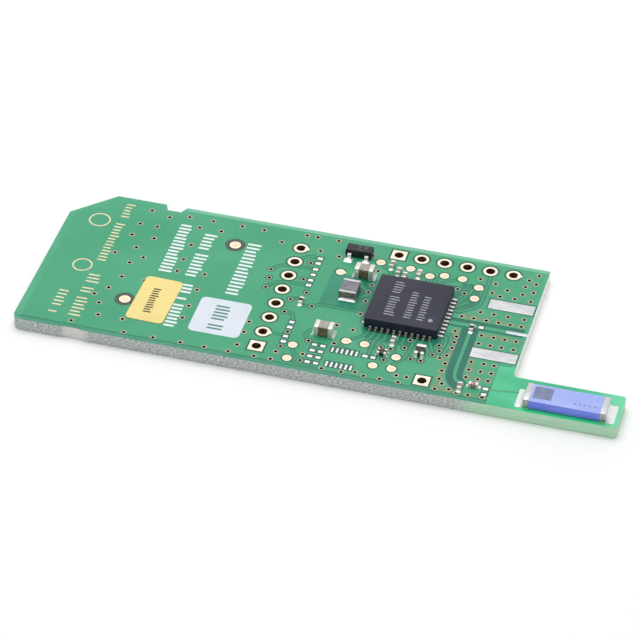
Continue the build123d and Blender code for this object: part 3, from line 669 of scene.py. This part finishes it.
# Geometry Nodes: one tree for each piece, with named sizes, run on points. build gives what the tree makes,
# and the tree ends by making it real. unit is a mesh that is copied, turns are the points' own turns
def grown(name, build, places, sizes, mat, angle=35, unit=None, turns=None):
    given = dict(sizes)
    if unit is not None:
        given["Unit"] = plainObject(name + "Unit", unit, mat)
    tree = bpy.data.node_groups.new(name, "GeometryNodeTree")
    tree.interface.new_socket("Geometry", in_out="INPUT", socket_type="NodeSocketGeometry")
    kinds = {int: "NodeSocketInt", float: "NodeSocketFloat"}
    sockets = {label: tree.interface.new_socket(label, in_out="INPUT",
                                                socket_type=kinds.get(type(value), "NodeSocketObject"))
               for label, value in given.items()}
    tree.interface.new_socket("Geometry", in_out="OUTPUT", socket_type="NodeSocketGeometry")
    inputs, made = tree.nodes.new("NodeGroupInput").outputs, tree.nodes.new("NodeGroupOutput")
    node, calc = nodeMaker(tree)
    real = node("GeometryNodeRealizeInstances", {"Geometry": build(inputs, node, calc)})
    dressed = node("GeometryNodeSetMaterial", {"Geometry": real, "Material": mats[mat]})
    tree.links.new(dressed, made.inputs["Geometry"])

    base = bpy.data.meshes.new(name)
    base.from_pydata([tuple(p) for p in places], [], [])
    base.attributes.new("turn", "FLOAT", "POINT").data.foreach_set("value", turns or [0.0] * len(places))
    holder = plainObject(name + "Base", base)
    modifier = holder.modifiers.new("tree", "NODES")
    modifier.node_group = tree
    for label, value in given.items():
        modifier[sockets[label].identifier] = value
    depsgraph = bpy.context.evaluated_depsgraph_get()
    mesh = bpy.data.meshes.new_from_object(holder.evaluated_get(depsgraph))
    bpy.data.objects.remove(holder)
    if unit is not None:
        bpy.data.objects.remove(given["Unit"])
    mesh.name = name
    return plainObject(name, smoothed(mesh, angle), mat)


def unitOf(given, node):
    return node("GeometryNodeObjectInfo", {"Object": given["Unit"]}, "Geometry")


def copies(node, points, unit, **more):
    return node("GeometryNodeInstanceOnPoints", {"Points": points, "Instance": unit, **more})


def ownTurn(node):
    spin = node("ShaderNodeCombineXYZ", {"Z": node("GeometryNodeInputNamedAttribute", {"Name": "turn"})})
    return node("FunctionNodeEulerToRotation", {"Euler": spin})


# Copies of one unit on points, with a little unevenness
def scattered(given, node, calc):
    size = node("FunctionNodeRandomValue", {"Min": calc("SUBTRACT", 1.0, given["Uneven"]),
                                            "Max": calc("ADD", 1.0, given["Uneven"]), "Seed": given["Seed"]})
    return copies(node, given["Geometry"], unitOf(given, node), Rotation=ownTurn(node), Scale=size)


def scatter(name, unit, places, mat, uneven=0.0, seed=1, angle=60, turns=None):
    return grown(name, scattered, places, {"Uneven": uneven, "Seed": seed}, mat, angle, unit, turns)


# Eyelets: the sleeve's section swept round the hole, with a soft lip, and a wedge towards some traces
def sleeve(given, node, calc):
    mean = calc("MULTIPLY", calc("ADD", given["Bore"], given["Pad"]), 0.5)
    path = node("GeometryNodeCurvePrimitiveCircle", {"Resolution": given["Sides"], "Radius": mean})
    wall = calc("SUBTRACT", given["Pad"], given["Bore"])
    section = node("GeometryNodeCurvePrimitiveQuadrilateral", {"Width": wall, "Height": given["Height"]})
    lip = node("GeometryNodeFilletCurve", {"Curve": section, "Radius": given["Lip"], "Count": 2}, mode="POLY")
    ring = node("GeometryNodeCurveToMesh", {"Curve": path, "Profile Curve": lip})
    return copies(node, given["Geometry"], ring)


def squareEyelet(bm, centre, half, bore, low, high, sides):
    rings = [circle(centre, bore, z, sides) for z in (low, high)]
    square = []
    for x, y, z in circle((0, 0), 1, 0, sides):
        stretch = half / max(abs(x), abs(y))
        square.append((centre.x + x * stretch, centre.y + y * stretch))
    outer = [[(x, y, z) for x, y in square] for z in (high, low)]
    loft(bm, rings + outer, capped=False)


# Shares of the pad's radius, the tip's of the base
dropLook = {"start": 0.55, "base": 0.82, "tip": 0.08, "sink": 0.004 * mm}


def teardrop(bm, place, radius, reach, turn, top):
    # a wedge that narrows away from a round pad and stays a little lower
    way = Vector((math.cos(turn), math.sin(turn)))
    side = Vector((-way.y, way.x)) * radius * dropLook["base"]
    start, tip, half = way * radius * dropLook["start"], way * radius * reach, side * dropLook["tip"]
    corners = [start + side, start - side, tip - half, tip + half]
    loft(bm, [[(place[0] + c.x, place[1] + c.y, z) for c in corners] for z in (topZ, top - dropLook["sink"])])


eyeletLook = {
    "bore": 0.5 * mm, "boreSlack": 1.03, "lip": 0.03 * mm, "sides": 48, "dropReach": 1.2,
    "drops": {"header_eyelets": [(1, 0), (7, 0)], "service_eyelets": [(5, 0)]},  # number and turn
}
for name in dict.fromkeys(e["node"] for e in eyelets):
    low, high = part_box(name)
    mine = [e for e in eyelets if e["node"] == name]
    pad, bore = mine[0]["pad"], eyeletLook["bore"]
    sizes = {"Bore": bore, "Pad": pad, "Height": high.z - low.z, "Lip": eyeletLook["lip"],
             "Sides": eyeletLook["sides"]}
    places = [(e["at"].x, e["at"].y, (low.z + high.z) / 2) for e in mine if not e["square"]]
    pieces = [grown(name + "Rings", sleeve, places, sizes, "eyeletGold")] if places else []
    bm = bmesh.new()
    for eyelet in mine:
        if eyelet["square"]:
            squareEyelet(bm, eyelet["at"], pad, bore, low.z, high.z, eyeletLook["sides"])
    for number, turn in eyeletLook["drops"].get(name, []):
        teardrop(bm, mine[number]["at"], pad, eyeletLook["dropReach"], turn, high.z)
    pieces.append(fromBmesh(name + "Squares", bm, "eyeletGold"))
    piece = joined(camel(name), pieces)

    def boreWall(face):
        away = min((face.center.xy - e["at"].xy).length for e in mine)
        return abs(face.normal.z) < 0.5 and away < bore * eyeletLook["boreSlack"]

    # the bore walls take a darker finish, painted shade inside the holes
    secondFinish(piece, "barrel", boreWall)
    keep(piece, "plated_copper", name)
print("eyelets made:", len(eyelets))


# Round pads: low discs with a soft rim, whose attribute is 0 in the middle and 1 at the rim
padLook = {
    "rim": 0.012 * mm, "fade": (0.86, 0.66), "dropReach": 1.32,  # the rim's tint fades between these radii
    "drops": [  # place and turn
        ((34.9, 6.1), 0), ((31.3, 17.5), 0), ((46.2, 19.0), -0.5), ((40.6, 3.1), 2.2)],
}


def discMesh(radius, height, rim, sides=40):
    rings = [(0, 0), *softEdge(height, rim)]
    rings += [(height, radius - radius * share) for share in padLook["fade"]]
    bm = bmesh.new()
    loft(bm, [circle((0, 0), radius - inset, z, sides) for z, inset in rings])
    mesh = meshOf("disc", bm)
    shares = [float(i < sides * (len(rings) - 1)) for i in range(len(mesh.vertices))]
    mesh.attributes.new("rimShare", "FLOAT", "POINT").data.foreach_set("value", shares)
    return mesh


for name in ("test_pads", "fiducial_pads"):
    found = solids(name)
    radius, rise = (found[0][1].x - found[0][0].x) / 2, found[0][1].z - found[0][0].z
    places = [(middle.x, middle.y, low.z) for low, high, middle, points in found]
    piece = scatter(camel(name), discMesh(radius, rise, padLook["rim"]), places, "padGold")
    if name == "test_pads":
        bm = bmesh.new()
        for place, turn in padLook["drops"]:
            centre = min(places, key=lambda p: (Vector(p[:2]) - spot(*place).xy).length)
            teardrop(bm, centre, radius, padLook["dropReach"], turn, topZ + rise)
        piece = joined(camel(name), [piece, fromBmesh("drops", bm, "padGold")])
    keep(piece, "plated_copper", name)
print("round pads made")


# Solder: a closed lump between stations along it, whose top follows a height rule and whose width a share
def lump(bm, turned, stations, width, height, across=8, share=lambda x: 1.0):
    rings = []
    for x in stations:
        over, under = [], []
        for t in spread(-1, 1, across):
            y = width / 2 * t * share(x)
            over.append(turned @ Vector((x, y, height(x, t))))
            under.append(turned @ Vector((x, y, 0)))
        rings.append(over[::-1] + under)
    loft(bm, rings)


solderLook = {
    "rim": 0.018 * mm, "hollow": 2.2, "belly": 0.16, "lobe": 0.4, "crown": 5, "toe": 6, "nose": 0.9,
    "corner": 0.14 * mm, "landDome": 0.062 * mm, "landWaist": 0.16, "landEnds": 0.3,
    "climbs": {"chip_part_solder": 0.66, "power_inductor": 0.36},  # shares of the frame's wedges
}


def joint(bm, at, turn, lap, reach, climb, width, rise, slim=1.0):
    # a hollow fillet: high at the terminal's end face, thin at the land's edge, rounded across
    corner = min(solderLook["corner"], width * 0.45)

    def height(x, t):
        if x < 0:
            return rise
        s = min(1.0, x / reach)
        hollow = (1 - s) ** solderLook["hollow"]
        belly = solderLook["belly"] * math.sin(math.pi * s) * (1 - solderLook["lobe"] * (1 - t * t) ** 4)
        edge = min(1.0, (1 - s) * solderLook["toe"])
        return rise * edge + climb * (hollow + belly) * (1 - abs(t) ** solderLook["crown"]) * edge

    def share(x):
        over = max(0.0, x - (reach - corner))
        cut = corner - math.sqrt(max(0.0, corner ** 2 - over ** 2))
        return slim * (1 - 2 * cut / width * solderLook["nose"])

    turned = Matrix.Translation(at) @ Matrix.Rotation(turn, 4, "Z")
    lump(bm, turned, [-lap, -1e-7] + spread(0, reach, 10), width, height, share=share)


def dome(length, width, rise):
    # a pillow of solder on a bare land, higher near its two ends
    def height(x, t):
        s = 2 * x / length
        lobe = 1 - solderLook["lobe"] * (1 - s * s) ** 3
        return solderLook["rim"] + rise * (1 - abs(s) ** 4) * (1 - abs(t) ** 4) * lobe

    def share(x):
        s = abs(2 * x / length)
        return 1 - solderLook["landWaist"] * (1 - s * s) ** 2 - solderLook["landEnds"] * s ** 10

    bm = bmesh.new()
    lump(bm, Matrix(), spread(-length / 2, length / 2, 10), width, height, share=share)
    return meshOf("dome", bm)


for name in ("spare_lands", "comb_lands"):
    found = solids(name)
    size = found[0][1] - found[0][0]
    places = [(middle.x, middle.y, low.z) for low, high, middle, points in found]
    turns = [0.0 if size.x >= size.y else quarter] * len(places)
    unit = dome(max(size.x, size.y), min(size.x, size.y), solderLook["landDome"])
    keep(scatter(camel(name), unit, places, "solder", 0.06, 4, 70, turns), "solder", name)
print("bare lands made")

# Every soldered part: its body and its ends, with the finish and slot of each body
partLook = {
    "input_capacitor": ("brownCeramic", "capacitor_ceramic"),
    "output_capacitor": ("brownCeramic", "capacitor_ceramic"),
    "power_inductor": ("greyFerrite", "ferrite"), "filter_bead": ("pinkCeramic", "pink_ceramic"),
    "matching_inductor": ("pinkCeramic", "pink_ceramic"), "feed_resistor": ("whiteCeramic", "white_ceramic"),
    "header_resistor": ("whiteCeramic", "white_ceramic"), "band_filter": ("darkCeramic", "dark_ceramic"),
    "balun": ("darkCeramic", "dark_ceramic"), "antenna": ("blueCeramic", "blue_ceramic"),
}
endFinish = {"antenna": "antennaTin", "power_inductor": "inductorTin"}
rounding = {"body": 0.035 * mm, "ends": 0.05 * mm}
endNodes = {name[:-5]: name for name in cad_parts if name.endswith("_ends")}
endNodes.update({name: name + "_terminals" for name in ("antenna", "band_filter", "balun")})
for name in sorted(endNodes):
    mat, slot = partLook.get(name, ("smallCeramic", "capacitor_ceramic"))
    bm = roundBoxes(bmesh.new(), [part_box(name + "_body")], rounding["body"])
    body = fromBmesh(camel(name) + "Body", bm, mat, 50)
    if mat == "brownCeramic":
        # painted light: the upward faces take the paler copy
        secondFinish(body, "paleCeramic", lambda face: face.normal.z > 0.5)
    if name == "antenna":
        # painted shade: the side faces take the darker copy
        secondFinish(body, "blueSide", lambda face: face.normal.z <= 0.5)
    keep(body, slot, name + "_body")
    bm = roundBoxes(bmesh.new(), [s[:2] for s in solids(endNodes[name])], rounding["ends"])
    ends = fromBmesh(camel(endNodes[name]), bm, endFinish.get(name, "endTin"), 50)
    if name == "power_inductor":
        secondFinish(ends, "darkEnd", lambda face: abs(face.normal.y) > 0.6)
    keep(ends, "tinned_end", endNodes[name])
print("chip parts made:", len(endNodes))


# Each wedge of solder in the frame gives the place, direction and size of one rounded joint
def jointPlan(solid, partMiddle):
    low, high, middle, points = solid
    peak = [p for p in points if abs(p.z - high.z) < 1e-7]
    axis = 0 if len({round(p.x, 7) for p in peak}) == 1 else 1
    edge = peak[0][axis]
    forward = edge > partMiddle[axis]
    ahead, behind = high[axis] - edge, edge - low[axis]
    at = Vector((middle.x, middle.y, low.z))
    at[axis] = edge
    base, landLevel = sorted({round(p.z, 7) for p in points})[:2]
    return {"at": at, "turn": (axis + (0 if forward else 2)) * quarter, "climb": high.z - landLevel,
            "reach": ahead if forward else behind, "lap": behind if forward else ahead,
            "width": high[1 - axis] - low[1 - axis], "rise": landLevel - base}


middles = {}
for name in [*endNodes, "regulator"]:
    low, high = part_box(name + "_body")
    middles[name] = (low + high) / 2
for name in ("chip_part_solder", "antenna_solder", "corner_part_solder", "regulator_solder"):
    bm = bmesh.new()
    for solid in solids(name):
        part = min(middles, key=lambda m: (middles[m].xy - solid[2].xy).length)
        plan = jointPlan(solid, middles[part])
        plan["climb"] *= solderLook["climbs"].get(part, solderLook["climbs"].get(name, 1.0))
        joint(bm, **plan)
    keep(fromBmesh(camel(name), bm, "solder", 50), "solder", name)
print("joints made")


# The square chip: a slab with soft edges whose foot stands a hair behind its lands
def slab(bm, low, high, corner, profile):
    # profile: pairs of height and how far the outline is drawn in there
    rings = []
    for z, inset in profile:
        a, b = low.x + inset, low.y + inset
        c, d = high.x - inset, high.y - inset
        k = corner
        ring = [(a + k, b), (c - k, b), (c, b + k), (c, d - k)]
        ring += [(c - k, d), (a + k, d), (a, d - k), (a, b + k)]
        rings.append([(x, y, z) for x, y in ring])
    loft(bm, rings)


chipLook = {
    "foot": 0.02 * mm, "footRise": 0.01 * mm, "step": 0.005 * mm, "corner": 0.15 * mm, "edge": 0.05 * mm,
    "climb": 0.15, "landRounding": 0.03 * mm, "padRounding": 0.02 * mm, "plateRounding": 0.01 * mm,
    "rows": [  # sides counted from the tongue's, shares of the wedge's reach and width, and the finish
        # the near side's row takes a darker copy of solder, painted shade and reflection under the chip
        ((0, 1), 1.0, 0.78, "solder"), ((2,), 0.66, 0.78, "solder"), ((3,), 0.8, 0.64, "dullSolder")],
}
chipLow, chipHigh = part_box("wifi_chip_body")
chipMiddle = (chipLow + chipHigh) / 2
chipLands = solids("wifi_chip_lands")
foot, footTop = chipLook["foot"], chipLands[0][1].z + chipLook["footRise"]
profile = [(chipLow.z, foot), (footTop, foot), (footTop + chipLook["step"], 0)]
bm = bmesh.new()
slab(bm, chipLow, chipHigh, chipLook["corner"], profile + softEdge(chipHigh.z, chipLook["edge"]))
keep(fromBmesh("wifiChipBody", bm, "chipMoulding", 40), "moulding", "wifi_chip_body")


# One side's row of units, turned round the chip to its other sides
def chipRow(given, node, calc):
    span = calc("MULTIPLY", calc("SUBTRACT", given["Count"], 1.0), given["Pitch"])
    first = node("ShaderNodeCombineXYZ", {"X": given["Half"], "Y": calc("MULTIPLY", span, -0.5)})
    step = node("ShaderNodeCombineXYZ", {"Y": given["Pitch"]})
    line = node("GeometryNodeMeshLine", {"Count": given["Count"], "Start Location": first, "Offset": step})
    row = copies(node, line, unitOf(given, node))
    return copies(node, given["Geometry"], row, Rotation=ownTurn(node))


def chipRows(name, bm, mat, base, sides=(0, 1, 2, 3)):
    leftSide = [s[2].y for s in chipLands if s[0].x - chipLow.x < 1e-6]
    count = len(chipLands) // 4
    pitch = (max(leftSide) - min(leftSide)) / (count - 1)
    sizes = {"Count": count, "Pitch": pitch, "Half": chipHigh.x - chipMiddle.x}
    places, turns = [(chipMiddle.x, chipMiddle.y, base)] * len(sides), [i * quarter for i in sides]
    return grown(name, chipRow, places, sizes, mat, 50, meshOf(name, bm), turns)


def byCorner(item):
    return (item[0].x, item[0].y)


plan = jointPlan(min(chipSolder, key=byCorner), chipMiddle)
plan.update({"at": Vector((0, 0, 0)), "turn": 0.0, "climb": plan["climb"] * chipLook["climb"]})
rows = []
for sides, reach, slim, mat in chipLook["rows"]:
    bm = bmesh.new()
    joint(bm, **{**plan, "reach": plan["reach"] * reach, "slim": slim})
    rows.append(chipRows("wifiChipSolder" + mat, bm, mat, chipSolder[0][0].z, sides))
plate = roundBoxes(bmesh.new(), [chipPlate[:2]], chipLook["plateRounding"])
keep(joined("wifiChipSolder", [*rows, fromBmesh("plate", plate, "solder")]), "solder", "wifi_chip_solder")
landLow, landHigh = min(chipLands, key=byCorner)[:2]
size = landHigh - landLow
land = roundBoxes(bmesh.new(), [(Vector((-size.x, -size.y / 2, 0)), Vector((0, size.y / 2, size.z)))],
                  chipLook["landRounding"])
keep(chipRows("wifiChipLands", land, "endTin", landLow.z), "solder", "wifi_chip_lands")
bm = roundBoxes(bmesh.new(), [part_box("wifi_chip_ground_pad")], chipLook["padRounding"])
keep(fromBmesh("wifiChipGroundPad", bm, "endTin"), "solder", "wifi_chip_ground_pad")
print("square chip made")


# Bevelled copies of frame solids whose form is already right
softLook = {"flat": 2, "sharp": 30, "body": 0.04 * mm, "leads": 0.012 * mm}  # degrees, then bevels


def softCopy(name, mat, slot, width):
    bm = bmesh.new()
    bm.from_mesh(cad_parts[name].data)
    bmesh.ops.remove_doubles(bm, verts=bm.verts, dist=1e-7)
    bmesh.ops.dissolve_limit(bm, angle_limit=math.radians(softLook["flat"]), verts=bm.verts, edges=bm.edges)
    bmesh.ops.recalc_face_normals(bm, faces=bm.faces)
    limit = math.radians(softLook["sharp"])
    sharp = [e for e in bm.edges if len(e.link_faces) == 2 and e.calc_face_angle() > limit]
    bmesh.ops.bevel(bm, geom=sharp, offset=width, offset_type="OFFSET", segments=2, profile=0.5,
                    affect="EDGES", clamp_overlap=True)
    return keep(fromBmesh(camel(name), bm, mat, 40), slot, name)


softCopy("regulator_body", "regulatorMoulding", "moulding", softLook["body"])
softCopy("regulator_leads", "solder", "solder", softLook["leads"])

# Thin plates: boxes and outlines from the frame with rounded rims, and launch pads with a slight swell
plateLook = {
    "rim": 0.015 * mm, "labelRim": 0.02 * mm, "panelRim": 0.01 * mm, "swell": 0.45, "endCurve": 12,
    "sideCurve": 6, "boxes": [("card_contacts", "contactGold", "gold_contact"),
                              ("resistor_coats", "blackCoat", "resistor_coat")],
}
for name, mat, slot in plateLook["boxes"]:
    bm = roundBoxes(bmesh.new(), [s[:2] for s in solids(name)], plateLook["rim"], 2)
    keep(fromBmesh(camel(name), bm, mat), slot, name)
bm = bmesh.new()
for low, high, middle, points in solids("launch_pads"):
    size = high - low
    long, wide = max(size.x, size.y), min(size.x, size.y)

    def pillow(x, t):
        flat = (1 - abs(2 * x / long) ** plateLook["endCurve"]) * (1 - abs(t) ** plateLook["sideCurve"])
        return size.z * (1 - plateLook["swell"] * (1 - flat))

    place = Matrix.Translation((middle.x, middle.y, low.z))
    turned = place @ Matrix.Rotation(0 if size.x > size.y else quarter, 4, "Z")
    lump(bm, turned, spread(-long / 2, long / 2, 24), wide, pillow, 14)
keep(fromBmesh("launchPads", bm, "tinnedPad", 50), "plated_copper", "launch_pads")


def thinPlate(name, mat, slot, rim):
    low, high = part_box(name)
    middle = (low + high) / 2
    corners = [spot(*place) for place in topLoop(name)]
    rings = []
    for z, inset in [(low.z, 0), *softEdge(high.z, rim)]:
        shrinkX, shrinkY = 1 - inset / (high.x - middle.x), 1 - inset / (high.y - middle.y)
        rings.append([(middle.x + (p.x - middle.x) * shrinkX, middle.y + (p.y - middle.y) * shrinkY, z)
                      for p in corners])
    bm = bmesh.new()
    loft(bm, rings)
    return keep(fromBmesh(camel(name), bm, mat), slot, name)


thinPlate("paper_label", "labelPaper", "yellow_paper", plateLook["labelRim"])
thinPlate("writing_panel", "panelInk", "white_ink", plateLook["panelRim"])
print("plates and leads made")


# Printed and etched marks: rows of plain bars, some left out, each row from its own seed
def barRow(given, node, calc):
    step = node("ShaderNodeCombineXYZ", {"Y": given["Pitch"]})
    line = node("GeometryNodeMeshLine", {"Count": given["Count"], "Offset": step})
    seed = {"Seed": given["Seed"]}
    chance = node("FunctionNodeRandomValue", {"Probability": given["Gaps"], **seed}, data_type="BOOLEAN")
    left = node("GeometryNodeDeleteGeometry", {"Geometry": line, "Selection": chance})
    share = node("FunctionNodeRandomValue", {"Min": given["Shortest"], "Max": 1.0, **seed})
    size = node("ShaderNodeCombineXYZ", {"X": calc("MULTIPLY", share, given["Height"]), "Y": given["Stroke"],
                                         "Z": given["Thickness"]})
    return copies(node, given["Geometry"], copies(node, left, unitOf(given, node), Scale=size))


def heightOf(name):
    return (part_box(name)[1].z - topZ) / mm


# Each group: finish, slot, base and thickness, and the bars' stroke. A row has its place, height, number of
# bars, pitch and seed, a ring or dot its place and radius, and a box its two corners
markLook = {
    "whiteMarks": {
        "mat": "whiteInk", "slot": "white_ink", "base": 0.01, "thick": 0.024, "stroke": 0.3,
        "rows": [((12.4, 12.4), 1.5, 15, 0.6, 3), ((15.4, 12.4), 1.5, 14, 0.62, 8),
                 ((15.7, 3.4), 1.3, 13, 0.6, 5), ((20.4, 9.9), 1.6, 16, 0.64, 11)],
    },
    "etchedMarks": {
        "mat": "etchedCopper", "slot": "plated_copper", "base": 0.01, "thick": 0.02, "stroke": 0.2,
        "rows": [((3.3, 2.3), 1.2, 8, 0.62, 2), ((5.5, 2.3), 1.5, 13, 0.6, 4),
                 ((5.5, 12.3), 1.1, 13, 0.56, 6), ((5.6, 20.5), 1.0, 5, 0.56, 7)],
        "rings": [((4.3, 10.9), 1.1), ((3.6, 19.2), 1.2)], "ringWidth": 0.16,
    },
    "labelMarks": {
        "mat": "labelInk", "slot": "resistor_coat", "base": heightOf("paper_label") - 0.01, "thick": 0.016,
        "stroke": 0.2, "rows": [((12.95, 4.9), 0.95, 11, 0.4, 12)],
    },
    "panelMarks": {
        "mat": "panelMark", "slot": "board", "base": heightOf("writing_panel") - 0.005, "thick": 0.01,
        "stroke": 0.26, "rows": [((20.2, 4.2), 1.7, 8, 0.55, 14)],
    },
    "chipMarks": {
        "mat": "laserGrey", "slot": "white_ink", "base": heightOf("wifi_chip_body") - 0.02, "thick": 0.026,
        "stroke": 0.17, "dots": [((42.88, 10.5), 0.27)],
        "rows": [((37.8, 10.3), 1.2, 14, 0.44, 21), ((39.95, 10.3), 0.9, 11, 0.44, 22),
                 ((41.4, 10.3), 0.85, 10, 0.44, 23)],
    },
    "regulatorMarks": {
        "mat": "mouldMark", "slot": "white_ink", "base": heightOf("regulator_body") - 0.006, "thick": 0.008,
        "stroke": 0.1, "rows": [((32.35, 20.8), 0.42, 4, 0.2, 31), ((32.95, 20.8), 0.42, 4, 0.2, 35)],
    },
    "antennaMarks": {
        "mat": "blueMark", "slot": "blue_ceramic", "base": heightOf("antenna_body") - 0.01, "thick": 0.014,
        "boxes": [((55.9, 1.15), (57.85, 3.1))] + [
            ((start, 1.32), (start + 0.22, 1.5)) for start in (60.25, 60.75, 61.2, 61.75, 62.3)],
    },
}
markEdge = {"bar": 0.12 * mm, "ring": 0.004 * mm, "dot": 0.006 * mm, "box": 0.004 * mm}
barLook = {"gaps": 0.1, "shortest": 0.72}  # the share left out, and the least share of the row's height
corners = [(Vector((0, -0.5, 0)) * mm, Vector((1, 0.5, 1)) * mm)]
bar = meshOf("bar", roundBoxes(bmesh.new(), corners, markEdge["bar"], 2))
for name, values in markLook.items():
    mat, base, thick = values["mat"], values["base"], values["thick"]
    parts = []
    for place, height, count, pitch, seed in values.get("rows", []):
        sizes = {"Count": count, "Pitch": pitch * mm, "Height": height, "Stroke": values["stroke"],
                 "Thickness": thick, "Gaps": barLook["gaps"], "Shortest": barLook["shortest"], "Seed": seed}
        parts.append(grown(name + "Row", barRow, [spot(*place, base)], sizes, mat, 50, bar))
    for place, radius in values.get("rings", []):
        sizes = {"Bore": (radius - values["ringWidth"]) * mm, "Pad": radius * mm, "Height": thick * mm,
                 "Lip": markEdge["ring"], "Sides": 48}
        parts.append(grown(name + "Ring", sleeve, [spot(*place, base + thick / 2)], sizes, mat))
    for place, radius in values.get("dots", []):
        dot = discMesh(radius * mm, thick * mm, markEdge["dot"], 24)
        parts.append(scatter(name + "Dot", dot, [spot(*place, base)], mat))
    if "boxes" in values:
        corners = [(spot(*low, base), spot(*high, base + thick)) for low, high in values["boxes"]]
        parts.append(fromBmesh(name + "Box", roundBoxes(bmesh.new(), corners, markEdge["box"], 1), mat))
    keep(joined(name, parts), values["slot"])
print("marks made")

# The stage: a pale floor under the card and soft light from above
floorLook = {"reach": 0.6, "below": 0.02 * mm}
bm = bmesh.new()
bmesh.ops.create_grid(bm, x_segments=2, y_segments=2, size=floorLook["reach"])
floor = fromBmesh("floor", bm, "floorWhite")
floor.location.z = boardLow.z - floorLook["below"]


def lamp(name, place, size, power, glossy):
    data = bpy.data.lights.new(name, "AREA")
    data.shape = "RECTANGLE"
    data.size, data.size_y = size
    data.energy = power
    item = bpy.data.objects.new(name, data)
    scene.collection.objects.link(item)
    item.location = place
    item.rotation_euler = (-Vector(place)).to_track_quat("-Z", "Y").to_euler()
    item.visible_glossy = glossy


lightLook = {
    "world": 0.575, "lean": 0.41,  # the room is brighter behind the card than in front of it
    "lamps": {  # place, size, power, and whether gloss shows it
        "softbox": ((-0.05, 0.05, 0.30), (0.30, 0.26), 0.52, True),
        "fill": ((0.10, -0.30, 0.12), (0.30, 0.20), 0.19, False),
    },
}
for name, values in lightLook["lamps"].items():
    lamp(name, *values)
scene.world = bpy.data.worlds.new("studio")
scene.world.use_nodes = True
room = scene.world.node_tree
node, calc = nodeMaker(room)
height = node("ShaderNodeSeparateXYZ", {"Vector": node("ShaderNodeTexCoord", out="Generated")}, "Y")
lean = {0: height, 1: lightLook["lean"], 2: lightLook["world"]}
strength = node("ShaderNodeMath", lean, operation="MULTIPLY_ADD")
room.nodes["Background"].inputs["Color"].default_value = (1, 1, 1, 1)
room.links.new(strength, room.nodes["Background"].inputs["Strength"])
scene.view_settings.view_transform = "Standard"

cameraLook = {"place": (70.255, -285.757, 228.596), "turn": (52.053, -1.095, 15.037), "lens": 196.73}
cameraData = bpy.data.cameras.new("camera")
cameraData.lens = cameraLook["lens"]
cameraData.sensor_width = 36
cameraData.clip_start = 0.01
camera = bpy.data.objects.new("camera", cameraData)
scene.collection.objects.link(camera)
camera.location = [c * mm for c in cameraLook["place"]]
camera.rotation_euler = [math.radians(c) for c in cameraLook["turn"]]
scene.camera = camera

bpy.context.view_layer.update()
print("stage set")
